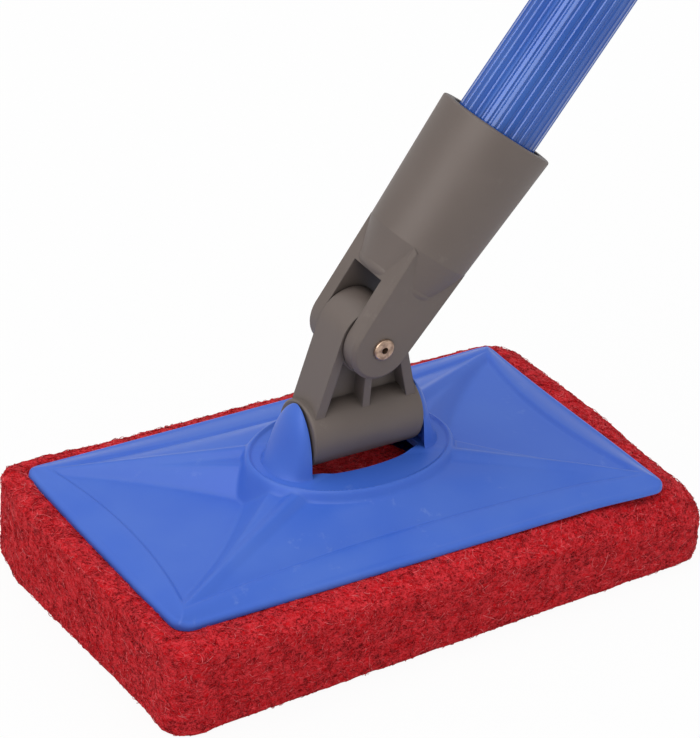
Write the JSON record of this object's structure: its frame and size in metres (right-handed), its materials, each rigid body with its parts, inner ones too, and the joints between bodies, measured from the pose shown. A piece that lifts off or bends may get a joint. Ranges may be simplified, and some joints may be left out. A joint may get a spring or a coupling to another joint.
{
  "type": "pool wall brush",
  "caption": "Pole-mounted pool scrubbing brush: thick fibre pad on a moulded plate, carried by a two-way swivel joint and a long fluted handle.",
  "frame": {"origin": "middle of the pad's flat scrubbing face", "axes": "+X along the pad, +Y across it, +Z away from the scrubbed surface"},
  "size_m": [0.8092, 0.1113, 1.0679],
  "materials": {
    "pad": "coarse open fibre",
    "hook": "woven nylon hook",
    "plate": "satin moulded",
    "joint": "matte moulded",
    "rivet": "nickel plated, slightly tarnished",
    "pole": "glossy blue coating",
    "tip": "moulded",
    "grip": "soft matte"
  },
  "bodies": {
    "handle": {"handle_socket": "joint", "pivot_rivet": "rivet", "mouth_bush": "joint", "thread_tip": "tip", "pole_tube": "pole", "hand_grip": "grip", "hang_cap": "grip"},
    "yoke": {"swivel_yoke": "joint"},
    "head": {"base_plate": "plate", "abrasive_pad": "pad", "hook_strip_left": "hook", "hook_strip_right": "hook"}
  },
  "joints": [
    {"name": "fork_swing", "type": "hinge", "parent": "handle", "child": "yoke", "pos_m": [0, -0.00066, 0.07459], "axis": [0, 0.9997, 0.0227], "range_deg": [-39.2, 110.8]},
    {"name": "head_rock", "type": "hinge", "parent": "yoke", "child": "head", "pos_m": [0, 0, 0.0454], "axis": [1, 0, 0], "range_deg": [-73.7, 76.3]}
  ]
}
